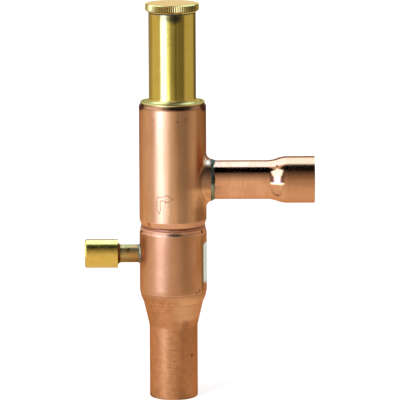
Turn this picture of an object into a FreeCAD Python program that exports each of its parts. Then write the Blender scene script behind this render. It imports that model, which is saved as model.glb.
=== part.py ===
import FreeCAD, Part
import math
import os

# Evaporator pressure regulator for 3/4 in copper pipe, in millimetres with +Z up.
# The origin is the centre of the inlet tube's mouth, which faces down.
# The outlet points to +X and the gauge port to -X.
# Gas lifts the valve plate off its seat against the main spring. The screw under the cap sets that spring.

V = FreeCAD.Vector

# Clearances
braze_gap = 0.05             # between pieces that are brazed or pressed together
contact_gap = 0.05           # between faces that meet but can part, such as a plate and its seat
slide_gap = 0.06             # radial, round a guided stem or piston
thread_gap = 0.08            # radial, between a screw thread and its nut thread
free_gap = 0.3               # round anything that moves without a guide

# Copper housings
housing_r = 15.1
housing_wall = 1.0
inlet_lip_inset = 0.35       # the inlet housing is drawn in by this where the two join
outlet_lip_inset = 0.85      # and the outlet housing by this
lip_rounding = 0.25

# Inlet housing, one spun piece from the tube mouth up to the joint
inlet_tube_r = 10.85
inlet_bore_r = 9.3
inlet_tube_length = 33.0
socket_r = 9.6               # takes 3/4 in pipe, at both connections
inlet_socket_depth = 17.0
mouth_rounding = 0.85
cone_step_inset = 1.68       # the cone steepens here, which leaves a faint ridge
lower_cone_rise = 10.8
upper_cone_rise = 3.9
inlet_body_length = 30.0
tube_knee_rounding = 5.0
body_knee_rounding = 13.0
shoulder_drop = 2.0          # small cone under the lip
shoulder_rise = 0.9
shoulder_rounding = 0.6

# Outlet housing, a spun tube with a collar pulled out of its side
outlet_housing_length = 55.4
outlet_lip_rise = 2.5
outlet_lip_rounding = 1.2
crimp_inset = 0.65           # the top edge is crimped in under the brass flange
crimp_edge_height = 0.6
crimp_drop = 1.5
crimp_rounding = 0.8
outlet_above_joint = 21.3
collar_r = 9.45
collar_length = 1.9          # beyond the housing's side
collar_fillet = 2.8

# Outlet tube
outlet_tube_r = 8.75
outlet_tube_wall = 1.0
outlet_tube_insertion = 2.5  # from the housing's side inwards
expansion_start = 44.2
expansion_end = 49.2
outlet_end = 63.6
outlet_socket_wall = 0.95
expansion_rounding = 13.0
outlet_braze_width = 1.8
outlet_braze_rise = 0.55

# Seat ring, turned brass, held by both lips
rim_thickness = 1.2          # its edge, which shows between the two lips
rim_inset = 0.6
rim_rounding = 0.3
seat_width = 5.1             # from the housing's inside to the bore
seat_bead_inset = 4.5
seat_bead_width = 0.6
seat_bead_height = 0.6
seat_ring_top_rise = 4.8
seat_ring_foot_drop = 5.25
seat_flange_height = 0.9
seat_foot_height = 1.9

# Brass spring housing: sleeve and flange
sleeve_r = 10.6
sleeve_length = 39.75
thread_r = 9.0
thread_length = 34.0
sleeve_bore_r = 8.6
flange_inset = 0.7           # the flange is this much smaller than the housing
flange_thickness = 0.6
flange_rounding = 0.2
flange_rim_width = 0.55
flange_groove_depth = 0.3
flange_fillet_share = 0.57    # of the room between the sleeve and the flange's groove
spigot_length = 7.3

# Protective cap and its gasket
gasket_thickness = 0.5
gasket_inner_r = 9.15
gasket_outer_r = 10.6
cap_head_r = 12.1
cap_head_height = 3.7
cap_top_chamfer = 0.4
cap_bottom_chamfer = 1.0
knurl_pitch = 0.98
knurl_depth = 0.3
cap_stub_length = 7.4

# Setting screw and upper spring seat
screw_depth = 16.5           # from the sleeve's top down to the screw, at the factory setting
screw_length = 8.0
screw_chamfer = 0.6
hex_key = 5.0
hex_depth = 5.0
upper_seat_thickness = 2.6
upper_seat_pad_r = 2.0
upper_seat_pad_height = 0.5
spring_boss_height = 3.0

# Main spring
spring_mean_r = 6.6
spring_wire_d = 2.2
spring_closed_turns = 1.0    # at each end, ground flat
spring_active_turns = 6.5
spring_sides = 8             # flats round the wire
spring_steps = 16            # straight runs in a turn

# Valve plate, facing and stem
plate_overhang = 0.4         # beyond the facing
plate_thickness = 2.9
facing_width = 1.8
facing_thickness = 1.0
facing_proud = 0.35
stem_r = 2.0
stem_collar_r = 3.3
stem_collar_length = 2.2
stem_drop = 27.0             # from the plate down to the stem's lower end
stem_rise = 9.5              # from the plate up to the stem's upper end
lower_seat_height = 8.0
lower_seat_flange = 2.0
lower_seat_neck_r = 6.4

# Bellows and its two end fittings
bellows_root_r = 8.6         # middle of the sheet
bellows_crest_r = 11.0
bellows_wall = 0.25
bellows_convolutions = 12
bellows_flat = 0.8           # width of each crest and root
bellows_sides = 28           # flats round the sheet
bellows_cuff_length = 1.6
cuff_ring_wall = 0.9
cup_floor = 1.0
top_ring_inset = 1.2         # from the housing's inside
top_ring_thickness = 1.9

# Damper under the valve
spider_thickness = 1.5
spider_rim_width = 1.8
spider_arm_width = 3.2
spider_arms = 3
damper_r = 6.6
damper_wall = 0.8
damper_length = 17.4
damper_floor = 1.0
damper_orifice_r = 0.6
piston_length = 4.0
nut_r = 3.4
nut_length = 2.4

# Gauge port
port_below_joint = 12.2
port_intrusion = 0.4         # the stem's inner end inside the housing
port_neck_r = 4.0
port_neck_length = 8.7       # from the housing's side out to the cone
port_cone_length = 1.1
port_collar_r = 4.9
port_collar_length = 1.0
port_thread_r = 5.55
port_thread_length = 9.3
port_nose_r = 3.3
port_nose_length = 2.3
port_passage_r = 1.6
core_chamber_r = 2.15
core_chamber_depth = 13.1    # depths are from the port's outer end inwards
core_cone_depth = 8.1
core_thread_r = 2.65
core_thread_depth = 7.3
port_braze_width = 1.3
port_braze_rise = 0.4

# Gauge port cap and its gasket
port_cap_r = 6.5
port_cap_length = 14.8
port_cap_floor = 1.1
port_cap_rounding = 0.8
port_gasket_r = 5.2
port_gasket_thickness = 1.0

# Valve core inside the gauge port
core_head_depth = 6.3
core_end_depth = 1.3
core_barrel_r = 1.85
core_barrel_depth = 9.5
core_spring_room_r = 1.35
core_spring_floor_depth = 8.3
core_bore_r = 0.58
core_pin_r = 0.5
core_pin_end_depth = 0.6
core_pin_collar_r = 1.2
core_pin_collar_depth = 3.5
core_pin_collar_length = 0.6
core_pin_foot_r = 1.75
core_pin_foot_length = 0.6
core_seal_length = 1.0
core_spring_mean_r = 0.93
core_spring_wire_d = 0.3
core_spring_closed_turns = 1.0
core_spring_active_turns = 3.0
core_spring_sides = 6
core_spring_steps = 12

# Heights, stacked up from the inlet tube's mouth
cone_step_z = inlet_tube_length + lower_cone_rise
body_start_z = cone_step_z + upper_cone_rise
joint_z = body_start_z + inlet_body_length
outlet_foot_z = joint_z + rim_thickness
outlet_top_z = outlet_foot_z + outlet_housing_length
outlet_axis_z = joint_z + outlet_above_joint
port_axis_z = joint_z - port_below_joint
seat_foot_z = joint_z - seat_ring_foot_drop
seat_top_z = joint_z + seat_ring_top_rise
bead_top_z = seat_top_z + seat_bead_height
facing_z = bead_top_z + contact_gap
plate_z = facing_z + facing_proud
plate_top_z = plate_z + plate_thickness
cup_z = plate_top_z + contact_gap
flange_top_z = outlet_top_z + flange_thickness
sleeve_top_z = flange_top_z + sleeve_length
spigot_z = outlet_top_z - spigot_length
top_ring_z = spigot_z - braze_gap - top_ring_thickness
lower_seat_z = cup_z + cup_floor + contact_gap
lower_seat_top_z = lower_seat_z + lower_seat_height
cap_z = sleeve_top_z + 2 * contact_gap + gasket_thickness
screw_z = sleeve_top_z - screw_depth - screw_length
upper_seat_z = screw_z - contact_gap - upper_seat_pad_height - upper_seat_thickness
spider_z = seat_foot_z - contact_gap - spider_thickness
damper_top_z = spider_z - contact_gap
stem_foot_z = plate_z - stem_drop

# Radii that follow from others
housing_inner_r = housing_r - housing_wall
inlet_lip_r = housing_r - inlet_lip_inset
outlet_lip_r = housing_r - outlet_lip_inset
rim_r = housing_r - rim_inset
cone_step_r = housing_r - cone_step_inset
crimp_r = housing_r - crimp_inset
flange_r = housing_r - flange_inset
seat_bore_r = housing_inner_r - seat_width
seat_bead_r = housing_inner_r - seat_bead_inset
plate_r = seat_bead_r + facing_width / 2 + plate_overhang
top_ring_r = housing_inner_r - top_ring_inset
boss_r = spring_mean_r - spring_wire_d / 2 - 0.2
upper_seat_r = sleeve_bore_r - free_gap
lower_seat_r = bellows_root_r - bellows_wall / 2 - free_gap

# Places out along the outlet's line and the port's line, from the regulator's axis
collar_reach = housing_r + collar_length
outlet_tube_start = housing_r - outlet_tube_insertion
port_inner_end = housing_inner_r - port_intrusion
port_neck_end = housing_r + port_neck_length
port_cap_start = port_neck_end + port_cone_length
port_collar_end = port_cap_start + port_collar_length
port_thread_end = port_collar_end + port_thread_length
port_end = port_thread_end + port_nose_length
port_cap_end = port_cap_start + port_cap_length
core_chamber_start = port_end - core_chamber_depth
core_chamber_end = port_end - core_cone_depth
core_thread_start = port_end - core_thread_depth
core_head_start = port_end - core_head_depth
core_end = port_end - core_end_depth
core_barrel_start = port_end - core_barrel_depth
core_spring_floor = port_end - core_spring_floor_depth
core_pin_end = port_end - core_pin_end_depth
core_pin_collar_start = port_end - core_pin_collar_depth

# Lines that pieces are turned about: a point, the direction along it, and the direction of the section drawn
upright = (V(0, 0, 0), V(0, 0, 1), V(-1, 0, 0))
outlet_line = (V(0, 0, outlet_axis_z), V(1, 0, 0), V(0, 0, 1))
port_line = (V(0, 0, port_axis_z), V(-1, 0, 0), V(0, 0, 1))


def section_wire(corners, line):
    """A closed wire through corners of (radius, place along the line, rounding if any)."""
    origin, along, outward = line
    points = [origin + along * corner[1] + outward * corner[0] for corner in corners]
    starts = []
    ends = []
    bends = []
    for index, corner in enumerate(corners):
        point = points[index]
        rounding = corner[2] if len(corner) > 2 else 0
        if not rounding:
            starts.append(point)
            ends.append(point)
            bends.append(None)
            continue
        back = (points[index - 1] - point).normalize()
        ahead = (points[(index + 1) % len(points)] - point).normalize()
        half = back.getAngle(ahead) / 2
        reach = rounding / math.tan(half)
        inward = (back + ahead).normalize()
        starts.append(point + back * reach)
        ends.append(point + ahead * reach)
        bends.append(point + inward * (rounding / math.sin(half) - rounding))
    edges = []
    for index, bend in enumerate(bends):
        if bend:
            edges.append(Part.Arc(starts[index], bend, ends[index]).toShape())
        following = starts[(index + 1) % len(corners)]
        if ends[index].distanceToPoint(following) > 1e-6:
            edges.append(Part.LineSegment(ends[index], following).toShape())
    return Part.Wire(edges)


def turned(corners, line=upright):
    """A solid turned about a line from its half section."""
    origin, along, outward = line
    return Part.Face(section_wire(corners, line)).revolve(origin, along, 360)


def ring(inner_r, outer_r, low, high, line=upright):
    """A plain ring between two places along a line."""
    return turned([(inner_r, low), (outer_r, low), (outer_r, high), (inner_r, high)], line)


def rod(radius, low, high, line=upright):
    """A plain round bar between two places along a line."""
    origin, along, outward = line
    return Part.makeCylinder(radius, high - low, origin + along * low, along)


def prism(radii, low, height):
    """An upright prism whose corners lie at equal angles, with their radii in turn."""
    count = len(radii)
    points = []
    for index, radius in enumerate(radii):
        angle = 2 * math.pi * index / count
        points.append(V(radius * math.cos(angle), radius * math.sin(angle), low))
    return Part.Face(Part.makePolygon(points + points[:1])).extrude(V(0, 0, height))


def flat_sided(corners, sides):
    """An upright hollow solid like a turned one, but with flat sides all round."""
    rings = []
    for radius, height in corners:
        points = []
        for index in range(sides):
            angle = 2 * math.pi * index / sides
            points.append(V(radius * math.cos(angle), radius * math.sin(angle), height))
        rings.append(points)
    faces = []
    for number, points in enumerate(rings):
        above = rings[(number + 1) % len(rings)]
        for index in range(sides):
            after = (index + 1) % sides
            outline = [points[index], points[after], above[after], above[index], points[index]]
            faces.append(Part.Face(Part.makePolygon(outline)))
    return Part.Solid(Part.Shell(faces))


def coil_spring(mean_r, wire_d, closed_turns, active_turns, length, sides, steps):
    """A compression spring along +Z from 0 to its length, with closed and ground ends."""
    turns = 2 * closed_turns + active_turns
    active_pitch = (length - 2 * closed_turns * wire_d) / active_turns
    count = round(turns * steps)
    path = []
    for index in range(count + 1):
        turn = turns * index / count
        active = min(max(turn - closed_turns, 0), active_turns)
        height = (turn - active) * wire_d + active * active_pitch
        angle = 2 * math.pi * turn
        path.append(V(mean_r * math.cos(angle), mean_r * math.sin(angle), height))
    heading = (path[1] - path[0]).normalize()
    outward = V(1, 0, 0)
    upward = heading.cross(outward).normalize()
    outward = upward.cross(heading)
    corners = []
    for index in range(sides + 1):
        angle = 2 * math.pi * (index + 0.5) / sides
        offset = outward * math.cos(angle) + upward * math.sin(angle)
        corners.append(path[0] + offset * (wire_d / 2))
    section = Part.makePolygon(corners)
    corner_style = 1
    coil = Part.makePolygon(path).makePipeShell([section], True, False, corner_style)
    room = Part.makeCylinder(mean_r + wire_d, length)
    return coil.common(room)


def inlet_housing():
    wall = housing_wall
    shoulder_z = joint_z - shoulder_drop
    shell = turned([
        (socket_r, 0),
        (inlet_tube_r, 0, mouth_rounding),
        (inlet_tube_r, inlet_tube_length, tube_knee_rounding),
        (cone_step_r, cone_step_z),
        (housing_r, body_start_z, body_knee_rounding),
        (housing_r, shoulder_z, shoulder_rounding),
        (inlet_lip_r, shoulder_z + shoulder_rise),
        (inlet_lip_r, joint_z, lip_rounding),
        (inlet_lip_r - wall, joint_z),
        (housing_inner_r, shoulder_z),
        (housing_inner_r, body_start_z, body_knee_rounding),
        (cone_step_r - wall, cone_step_z),
        (inlet_bore_r, inlet_tube_length),
        (inlet_bore_r, inlet_socket_depth),
        (socket_r, inlet_socket_depth),
    ])
    port_hole = rod(port_neck_r + braze_gap, 0, housing_r + wall, port_line)
    return shell.cut(port_hole)


def tee_edges(body):
    """The edges where the collar meets the outlet housing's side."""
    found = []
    for edge in body.Edges:
        box = edge.BoundBox
        on_wall = box.XMin > collar_r / 2 and box.XMax < housing_r + braze_gap
        in_collar = abs(box.Center.z - outlet_axis_z) < collar_r and box.ZLength < 2 * collar_r + 1
        if on_wall and in_collar:
            found.append(edge)
    return found


def outlet_housing():
    lip_z = outlet_foot_z + outlet_lip_rise
    crimp_z = outlet_top_z - crimp_drop
    blank = turned([
        (0, outlet_foot_z),
        (outlet_lip_r, outlet_foot_z, lip_rounding),
        (housing_r, lip_z, outlet_lip_rounding),
        (housing_r, crimp_z, crimp_rounding),
        (crimp_r, outlet_top_z - crimp_edge_height),
        (crimp_r, outlet_top_z),
        (0, outlet_top_z),
    ])
    pulled = rod(collar_r, 0, collar_reach + collar_fillet, outlet_line)
    blank = blank.fuse(pulled)
    blank = blank.makeFillet(collar_fillet, tee_edges(blank))
    hollow = turned([
        (0, outlet_foot_z),
        (outlet_lip_r - housing_wall, outlet_foot_z),
        (housing_inner_r, lip_z),
        (housing_inner_r, crimp_z),
        (crimp_r - housing_wall, outlet_top_z),
        (0, outlet_top_z),
    ])
    tube_hole = rod(outlet_tube_r + braze_gap, 0, outlet_end, outlet_line)
    trimmed_off = rod(2 * housing_r, collar_reach, outlet_end, outlet_line)
    return blank.cut(hollow).cut(tube_hole).cut(trimmed_off)


def outlet_tube():
    bore_r = outlet_tube_r - outlet_tube_wall
    socket_outer_r = socket_r + outlet_socket_wall
    return turned([
        (bore_r, outlet_tube_start),
        (outlet_tube_r, outlet_tube_start),
        (outlet_tube_r, expansion_start, expansion_rounding),
        (socket_outer_r, expansion_end, expansion_rounding),
        (socket_outer_r, outlet_end),
        (socket_r, outlet_end),
        (socket_r, expansion_end),
        (bore_r, expansion_start),
    ], outlet_line)


def outlet_braze_ring():
    inner_r = outlet_tube_r + braze_gap
    start = collar_reach + braze_gap
    return turned([
        (inner_r, start),
        (inner_r + outlet_braze_rise, start),
        (inner_r, start + outlet_braze_width),
    ], outlet_line)


def seat_ring():
    lower_neck_r = inlet_lip_r - housing_wall - braze_gap
    upper_neck_r = outlet_lip_r - housing_wall - braze_gap
    fit_r = housing_inner_r - braze_gap
    rim_half = rim_thickness / 2 - braze_gap
    rim_z = joint_z + rim_thickness / 2
    neck_start_z = seat_foot_z + seat_foot_height
    neck_end_z = seat_top_z - seat_flange_height
    return turned([
        (seat_bore_r + 1.0, seat_foot_z),
        (fit_r, seat_foot_z),
        (fit_r, neck_start_z - housing_wall / 2),
        (lower_neck_r, neck_start_z),
        (lower_neck_r, rim_z - rim_half),
        (rim_r, rim_z - rim_half, rim_rounding),
        (rim_r, rim_z + rim_half, rim_rounding),
        (upper_neck_r, rim_z + rim_half),
        (upper_neck_r, neck_end_z),
        (fit_r, neck_end_z),
        (fit_r, seat_top_z),
        (seat_bead_r + seat_bead_width / 2, seat_top_z),
        (seat_bead_r + seat_bead_width / 2, bead_top_z),
        (seat_bead_r - seat_bead_width / 2, bead_top_z),
        (seat_bore_r, seat_top_z),
        (seat_bore_r, seat_foot_z + 1.0),
    ])


def spring_housing():
    spigot_r = crimp_r - housing_wall - braze_gap
    thread_end_z = sleeve_top_z - thread_length
    groove_end_r = flange_r - flange_rim_width
    groove_start_r = groove_end_r - flange_groove_depth
    fillet = flange_fillet_share * (groove_start_r - sleeve_r)
    groove_z = flange_top_z - flange_groove_depth
    return turned([
        (sleeve_bore_r, spigot_z),
        (spigot_r, spigot_z),
        (spigot_r, outlet_top_z + braze_gap),
        (flange_r, outlet_top_z + braze_gap),
        (flange_r, flange_top_z, flange_rounding),
        (groove_end_r, flange_top_z),
        (groove_start_r, groove_z),
        (sleeve_r, groove_z, fillet),
        (sleeve_r, sleeve_top_z),
        (thread_r, sleeve_top_z),
        (thread_r, thread_end_z),
        (sleeve_bore_r, thread_end_z),
    ])


def protective_cap():
    teeth = round(2 * math.pi * cap_head_r / knurl_pitch)
    knurls = prism([cap_head_r, cap_head_r - knurl_depth] * teeth, cap_z, cap_head_height)
    top_z = cap_z + cap_head_height
    chamfer = cap_bottom_chamfer
    blank = turned([
        (0, cap_z),
        (cap_head_r - chamfer, cap_z),
        (cap_head_r, cap_z + chamfer),
        (cap_head_r, top_z - cap_top_chamfer),
        (cap_head_r - cap_top_chamfer, top_z),
        (0, top_z),
    ])
    stub = rod(thread_r - thread_gap, cap_z - cap_stub_length, cap_z)
    return knurls.common(blank).fuse(stub)


def cap_gasket():
    low = sleeve_top_z + contact_gap
    return ring(gasket_inner_r, gasket_outer_r, low, low + gasket_thickness)


def setting_screw():
    top_z = screw_z + screw_length
    outer_r = thread_r - thread_gap
    blank = turned([
        (0, screw_z),
        (outer_r - screw_chamfer, screw_z),
        (outer_r, screw_z + screw_chamfer),
        (outer_r, top_z - screw_chamfer),
        (outer_r - screw_chamfer, top_z),
        (0, top_z),
    ])
    corner_r = hex_key / 2 / math.cos(math.pi / 6)
    socket = prism([corner_r] * 6, top_z - hex_depth, hex_depth)
    return blank.cut(socket)


def upper_spring_seat():
    top_z = upper_seat_z + upper_seat_thickness
    return turned([
        (0, upper_seat_z - spring_boss_height),
        (boss_r, upper_seat_z - spring_boss_height),
        (boss_r, upper_seat_z),
        (upper_seat_r, upper_seat_z),
        (upper_seat_r, top_z),
        (upper_seat_pad_r, top_z),
        (upper_seat_pad_r, top_z + upper_seat_pad_height),
        (0, top_z + upper_seat_pad_height),
    ])


def main_spring():
    low = lower_seat_top_z + contact_gap
    high = upper_seat_z - contact_gap
    spring = coil_spring(
        spring_mean_r, spring_wire_d, spring_closed_turns, spring_active_turns,
        high - low, spring_sides, spring_steps,
    )
    spring.translate(V(0, 0, low))
    return spring


def lower_spring_seat():
    bore_r = stem_r + braze_gap
    neck_start_z = lower_seat_z + lower_seat_flange
    neck_end_z = lower_seat_top_z - lower_seat_flange
    top_z = lower_seat_top_z + spring_boss_height
    return turned([
        (bore_r, lower_seat_z),
        (lower_seat_r, lower_seat_z),
        (lower_seat_r, neck_start_z),
        (lower_seat_neck_r, neck_start_z),
        (lower_seat_neck_r, neck_end_z),
        (lower_seat_r, neck_end_z),
        (lower_seat_r, lower_seat_top_z),
        (boss_r, lower_seat_top_z),
        (boss_r, top_z),
        (bore_r, top_z),
    ])


def bellows_profile(side, low, high):
    """One face of the convoluted sheet, from the lower cuff's end to the upper one's.

    side is how far that face lies outside the middle of the sheet. The crests are wider outside
    and the roots narrower, so that the sheet keeps its thickness round each bend.
    """
    pitch = (high - low - 2 * bellows_cuff_length) / bellows_convolutions
    slant = math.atan2(bellows_crest_r - bellows_root_r, pitch / 2 - bellows_flat)
    widening = side * math.tan(slant / 2)
    crest_half = bellows_flat / 2 + widening
    root_half = bellows_flat / 2 - widening
    root_r = bellows_root_r + side
    crest_r = bellows_crest_r + side
    points = [(root_r, low)]
    for index in range(bellows_convolutions):
        root_z = low + bellows_cuff_length + index * pitch
        crest_z = root_z + pitch / 2
        points += [
            (root_r, root_z + root_half),
            (crest_r, crest_z - crest_half),
            (crest_r, crest_z + crest_half),
            (root_r, root_z + pitch - root_half),
        ]
    points.append((root_r, high))
    return points


def bellows():
    low = cup_z + cup_floor + braze_gap
    high = top_ring_z + top_ring_thickness
    outside = bellows_profile(bellows_wall / 2, low, high)
    inside = bellows_profile(-bellows_wall / 2, low, high)
    return flat_sided(outside + inside[::-1], bellows_sides)


def bellows_top_ring():
    inner_r = bellows_root_r + bellows_wall / 2 + braze_gap
    return ring(inner_r, top_ring_r, top_ring_z, top_ring_z + top_ring_thickness)


def bellows_bottom_cup():
    cuff_r = bellows_root_r + bellows_wall / 2 + braze_gap
    floor_z = cup_z + cup_floor
    rim_z = floor_z + bellows_cuff_length
    return turned([
        (stem_r + braze_gap, cup_z),
        (cuff_r + cuff_ring_wall, cup_z),
        (cuff_r + cuff_ring_wall, rim_z),
        (cuff_r, rim_z),
        (cuff_r, floor_z),
        (stem_r + braze_gap, floor_z),
    ])


def valve_plate():
    bore_r = stem_r + braze_gap
    recess_in_r = seat_bead_r - facing_width / 2 - braze_gap
    recess_out_r = seat_bead_r + facing_width / 2 + braze_gap
    recess_z = facing_z + facing_thickness + braze_gap
    return turned([
        (bore_r, plate_z),
        (recess_in_r, plate_z),
        (recess_in_r, recess_z),
        (recess_out_r, recess_z),
        (recess_out_r, plate_z),
        (plate_r, plate_z),
        (plate_r, plate_top_z),
        (bore_r, plate_top_z),
    ])


def valve_plate_facing():
    half = facing_width / 2
    return ring(seat_bead_r - half, seat_bead_r + half, facing_z, facing_z + facing_thickness)


def valve_stem():
    collar_top_z = plate_z - contact_gap
    collar_z = collar_top_z - stem_collar_length
    return turned([
        (0, stem_foot_z),
        (stem_r, stem_foot_z),
        (stem_r, collar_z),
        (stem_collar_r, collar_z),
        (stem_collar_r, collar_top_z),
        (stem_r, collar_top_z),
        (stem_r, plate_top_z + stem_rise),
        (0, plate_top_z + stem_rise),
    ])


def damper_spider():
    rim_r = housing_inner_r - braze_gap
    rim = ring(rim_r - spider_rim_width, rim_r, spider_z, spider_z + spider_thickness)
    hub = rod(damper_r, spider_z, spider_z + spider_thickness)
    arms = []
    for index in range(spider_arms):
        reach = rim_r - spider_rim_width / 2
        arm = Part.makeBox(
            reach, spider_arm_width, spider_thickness, V(0, -spider_arm_width / 2, spider_z)
        )
        arm.rotate(V(0, 0, 0), V(0, 0, 1), 360 * index / spider_arms)
        arms.append(arm)
    guide = rod(stem_r + slide_gap, spider_z, spider_z + spider_thickness)
    return rim.multiFuse([hub] + arms).removeSplitter().cut(guide)


def damper_cylinder():
    low = damper_top_z - damper_length
    inner_r = damper_r - damper_wall
    return turned([
        (damper_orifice_r, low),
        (damper_r, low),
        (damper_r, damper_top_z),
        (inner_r, damper_top_z),
        (inner_r, low + damper_floor),
        (damper_orifice_r, low + damper_floor),
    ])


def damper_piston():
    low = stem_foot_z + nut_length
    return ring(stem_r + braze_gap, damper_r - damper_wall - slide_gap, low, low + piston_length)


def stem_nut():
    low = stem_foot_z
    high = stem_foot_z + nut_length - braze_gap
    corner_r = nut_r / math.cos(math.pi / 6)
    return prism([corner_r] * 6, low, high - low).cut(rod(stem_r + braze_gap, low, high))


def gauge_port_stem():
    return turned([
        (port_passage_r, port_inner_end),
        (port_neck_r, port_inner_end),
        (port_neck_r, port_neck_end),
        (port_collar_r, port_cap_start),
        (port_collar_r, port_collar_end),
        (port_thread_r, port_collar_end),
        (port_thread_r, port_thread_end),
        (port_nose_r, port_end),
        (core_thread_r, port_end),
        (core_thread_r, core_thread_start),
        (core_chamber_r, core_chamber_end),
        (core_chamber_r, core_chamber_start),
        (port_passage_r, core_chamber_start),
    ], port_line)


def gauge_port_braze_ring():
    inner_r = port_neck_r + braze_gap
    outer_end = housing_r + port_braze_width
    root = turned([
        (inner_r, port_inner_end),
        (inner_r + port_braze_rise, port_inner_end),
        (inner_r + port_braze_rise, housing_r),
        (inner_r, outer_end),
    ], port_line)
    wall = rod(housing_r + braze_gap, 0, joint_z)
    return root.cut(wall)


def gauge_port_cap():
    bore_r = port_thread_r + thread_gap
    floor = port_cap_end - port_cap_floor
    return turned([
        (bore_r, port_cap_start),
        (port_cap_r, port_cap_start),
        (port_cap_r, port_cap_end, port_cap_rounding),
        (0, port_cap_end),
        (0, floor),
        (bore_r, floor),
    ], port_line)


def gauge_cap_gasket():
    low = port_end + contact_gap
    return rod(port_gasket_r, low, low + port_gasket_thickness, port_line)


def core_body():
    head_r = core_thread_r - braze_gap
    return turned([
        (core_bore_r, core_barrel_start),
        (core_barrel_r, core_barrel_start),
        (core_barrel_r, core_head_start),
        (head_r, core_head_start),
        (head_r, core_end),
        (core_spring_room_r, core_end),
        (core_spring_room_r, core_spring_floor),
        (core_bore_r, core_spring_floor),
    ], port_line)


def core_sealing_ring():
    inner_r = core_barrel_r + braze_gap
    return turned([
        (inner_r, core_chamber_end),
        (core_chamber_r - braze_gap, core_chamber_end),
        (core_thread_r - braze_gap, core_thread_start + braze_gap),
        (core_thread_r - braze_gap, core_head_start - braze_gap),
        (inner_r, core_head_start - braze_gap),
    ], port_line)


def core_pin():
    foot_end = core_barrel_start - contact_gap - core_seal_length - braze_gap
    collar_end = core_pin_collar_start + core_pin_collar_length
    return turned([
        (0, foot_end - core_pin_foot_length),
        (core_pin_foot_r, foot_end - core_pin_foot_length),
        (core_pin_foot_r, foot_end),
        (core_pin_r, foot_end),
        (core_pin_r, core_pin_collar_start),
        (core_pin_collar_r, core_pin_collar_start),
        (core_pin_collar_r, collar_end),
        (core_pin_r, collar_end),
        (core_pin_r, core_pin_end),
        (0, core_pin_end),
    ], port_line)


def core_seal():
    high = core_barrel_start - contact_gap
    return ring(core_pin_r + braze_gap, core_pin_foot_r, high - core_seal_length, high, port_line)


def core_spring():
    low = core_spring_floor + contact_gap
    high = core_pin_collar_start - contact_gap
    spring = coil_spring(
        core_spring_mean_r, core_spring_wire_d, core_spring_closed_turns,
        core_spring_active_turns, high - low, core_spring_sides, core_spring_steps,
    )
    spring.rotate(V(0, 0, 0), V(0, 1, 0), -90)
    spring.translate(V(-low, 0, port_axis_z))
    return spring


pieces = [
    inlet_housing, outlet_housing, outlet_tube, outlet_braze_ring, seat_ring,
    spring_housing, protective_cap, cap_gasket, setting_screw, upper_spring_seat,
    main_spring, lower_spring_seat, bellows, bellows_top_ring, bellows_bottom_cup,
    valve_plate, valve_plate_facing, valve_stem, damper_spider, damper_cylinder,
    damper_piston, stem_nut, gauge_port_stem, gauge_port_braze_ring, gauge_port_cap,
    gauge_cap_gasket, core_body, core_sealing_ring, core_pin, core_seal, core_spring,
]

os.makedirs("parts", exist_ok=True)
for piece in pieces:
    shape = piece()
    shape.exportStep("parts/" + piece.__name__ + ".step")
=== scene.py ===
import bmesh
import bpy
import math
from mathutils import Matrix, Vector


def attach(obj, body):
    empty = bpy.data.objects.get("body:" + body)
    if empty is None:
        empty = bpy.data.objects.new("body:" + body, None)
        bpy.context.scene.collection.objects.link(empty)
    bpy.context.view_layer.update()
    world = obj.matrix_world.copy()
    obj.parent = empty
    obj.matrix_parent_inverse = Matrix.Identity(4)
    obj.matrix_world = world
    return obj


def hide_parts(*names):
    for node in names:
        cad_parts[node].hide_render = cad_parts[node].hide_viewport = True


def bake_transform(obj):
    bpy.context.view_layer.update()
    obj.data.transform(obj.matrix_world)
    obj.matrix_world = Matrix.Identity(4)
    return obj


# Evaporator pressure regulator, dressed over its fixed frame. Lengths in metres, +Z up, outlet to +X.
# Azimuth is the angle round the upright axis from the front, -Y, towards +X.

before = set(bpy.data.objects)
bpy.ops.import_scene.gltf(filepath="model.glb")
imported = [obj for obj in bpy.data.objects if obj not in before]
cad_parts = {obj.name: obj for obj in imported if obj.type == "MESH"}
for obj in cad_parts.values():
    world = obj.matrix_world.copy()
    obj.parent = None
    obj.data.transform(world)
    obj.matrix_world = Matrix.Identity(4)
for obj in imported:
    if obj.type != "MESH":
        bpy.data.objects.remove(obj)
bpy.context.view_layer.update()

MM = 0.001
DEGREES_IN_RADIAN = 180 / math.pi

# Places that repeat the frame's own sizes
HOUSING_R = 15.1 * MM
SLEEVE_R = 10.6 * MM
INLET_TUBE_R = 10.85 * MM
OUTLET_AXIS_Z = 99.0 * MM
COLLAR_END = 17.0 * MM
OUTLET_TUBE_R = 8.75 * MM
PORT_AXIS_Z = 65.5 * MM
PORT_NECK_R = 4.0 * MM
JOINT_Z = 77.7 * MM
OUTLET_FOOT_Z = 78.9 * MM
OUTLET_TOP_Z = 134.3 * MM
CAP_FOOT_Z = 175.25 * MM
CAP_TOP_Z = 178.95 * MM
CAP_R = 12.1 * MM
SCREW_FOOT_Z = 150.15 * MM
SCREW_TOP_Z = 158.15 * MM
SCREW_THREAD_R = 9.0 * MM
SCREW_PITCH = 1.0 * MM
SCREW_THREAD_DEPTH = 0.55 * MM
FLARE_START = 25.9 * MM
FLARE_END = 35.2 * MM
FLARE_PITCH = 1.27 * MM
FLARE_THREAD_DEPTH = 0.7 * MM


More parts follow.
